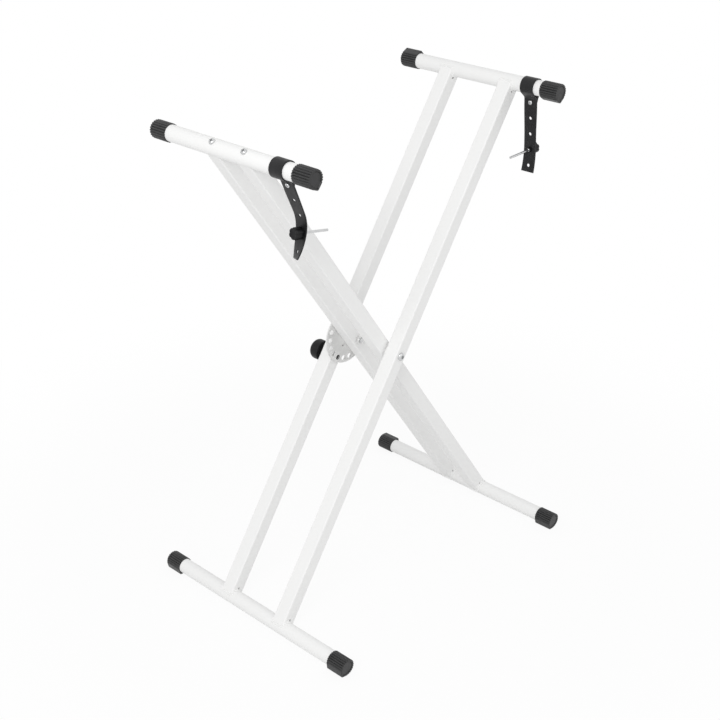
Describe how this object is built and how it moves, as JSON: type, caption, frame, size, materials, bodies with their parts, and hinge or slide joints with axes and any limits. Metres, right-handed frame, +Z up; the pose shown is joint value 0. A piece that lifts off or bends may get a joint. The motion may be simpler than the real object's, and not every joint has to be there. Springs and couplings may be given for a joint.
{
  "type": "keyboard stand",
  "caption": "Folding X-frame stand with doubled square-tube legs, round foot and top bars, ribbed end caps, an indexed locking disc with a pull pin, and holding straps with thumbscrews.",
  "frame": {"origin": "on the floor, below the pivot, midway between the foot bars and midway along them", "axes": "+Z up, +Y along the bars towards the rear, where the locking disc and knob are, +X across the scissor to the right as seen from the front"},
  "size_m": [0.5886, 0.427, 0.8272],
  "materials": {
    "white_coat": "satin white powder coat",
    "cap_black": "matt black, ribbed",
    "strap_black": "smooth black with a satin sheen",
    "knob_black": "matt black moulded plastic",
    "bright_steel": "bright plated steel",
    "zinc_steel": "zinc-plated steel"
  },
  "bodies": {
    "outer_frame": {"outer_leg_front": "white_coat", "outer_leg_rear": "white_coat", "outer_foot_bar": "white_coat", "outer_foot_caps": "cap_black", "outer_top_bar": "white_coat", "outer_top_caps": "cap_black", "pivot_bolts": "bright_steel", "pivot_nuts": "zinc_steel", "pivot_washers": "knob_black", "lock_guide": "zinc_steel"},
    "inner_frame": {"inner_leg_front": "white_coat", "inner_leg_rear": "white_coat", "inner_foot_bar": "white_coat", "inner_foot_caps": "cap_black", "inner_top_bar": "white_coat", "inner_top_caps": "cap_black", "lock_disc": "white_coat", "top_bar_screws": "bright_steel", "leg_inserts": "zinc_steel"},
    "lock_plunger": {"lock_pin": "bright_steel", "lock_spring": "zinc_steel", "lock_knob": "knob_black"},
    "strap_left": {"strap_left": "strap_black", "strap_screw_left": "bright_steel", "strap_nut_left": "zinc_steel"},
    "thumbscrew_left": {"thumb_rod_left": "bright_steel", "thumb_knob_left": "knob_black", "thumb_collar_left": "knob_black"},
    "strap_right": {"strap_right": "strap_black", "strap_screw_right": "bright_steel", "strap_nut_right": "zinc_steel"},
    "thumbscrew_right": {"thumb_rod_right": "bright_steel", "thumb_knob_right": "knob_black", "thumb_collar_right": "knob_black"}
  },
  "joints": [
    {"name": "fold", "type": "hinge", "parent": "outer_frame", "child": "inner_frame", "pos_m": [0, 0, 0.41198], "axis": [0, 1, 0], "range_deg": [-80, 60]},
    {"name": "lock_pull", "type": "slide", "parent": "outer_frame", "child": "lock_plunger", "axis": [0, -1, 0], "range_m": [0, 0.0043], "stiffness_N_per_m": 1500, "springref_m": 0.008, "deforming": ["lock_spring"]},
    {"name": "strap_left_swing", "type": "hinge", "parent": "inner_frame", "child": "strap_left", "pos_m": [-0.27588, -0.101, 0.80965], "axis": [0, 1, 0], "range_deg": [-15, 60]},
    {"name": "thumbscrew_left_turn", "type": "hinge", "parent": "strap_left", "child": "thumbscrew_left", "pos_m": [-0.24421, -0.101, 0.70829], "axis": [0.9795, 0, -0.2013], "continuous": true},
    {"name": "strap_right_swing", "type": "hinge", "parent": "outer_frame", "child": "strap_right", "pos_m": [0.27588, -0.106, 0.80965], "axis": [0, 1, 0], "range_deg": [-60, 15]},
    {"name": "thumbscrew_right_turn", "type": "hinge", "parent": "strap_right", "child": "thumbscrew_right", "pos_m": [0.2823, -0.106, 0.70222], "axis": [-0.9998, 0, -0.019], "continuous": true}
  ]
}
